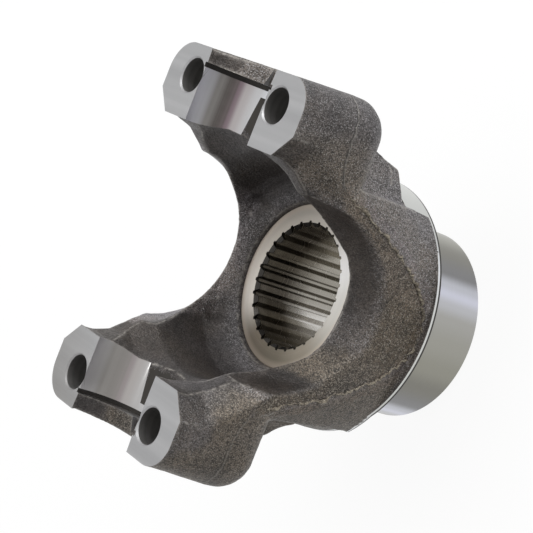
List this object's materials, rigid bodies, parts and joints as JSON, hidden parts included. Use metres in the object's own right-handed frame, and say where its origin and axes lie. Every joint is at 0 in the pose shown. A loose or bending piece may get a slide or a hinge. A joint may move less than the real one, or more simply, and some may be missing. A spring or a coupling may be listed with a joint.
{
  "type": "forged end yoke",
  "caption": "Forged steel end yoke with a splined hub, a round rim and two arms with half-round saddles for a universal joint cross.",
  "frame": {"origin": "middle of the hub's end face, the plane it stands on", "axes": "+Z along the shaft towards the ears, +Y across the joint from ear to ear, +X across the flat sides"},
  "size_m": [0.0712, 0.103, 0.0848],
  "materials": {
    "forged_steel": "dark as-forged scale with machined hub, rim, pads, saddles and seat"
  },
  "bodies": {
    "root": {"yoke": "forged_steel"}
  },
  "joints": []
}
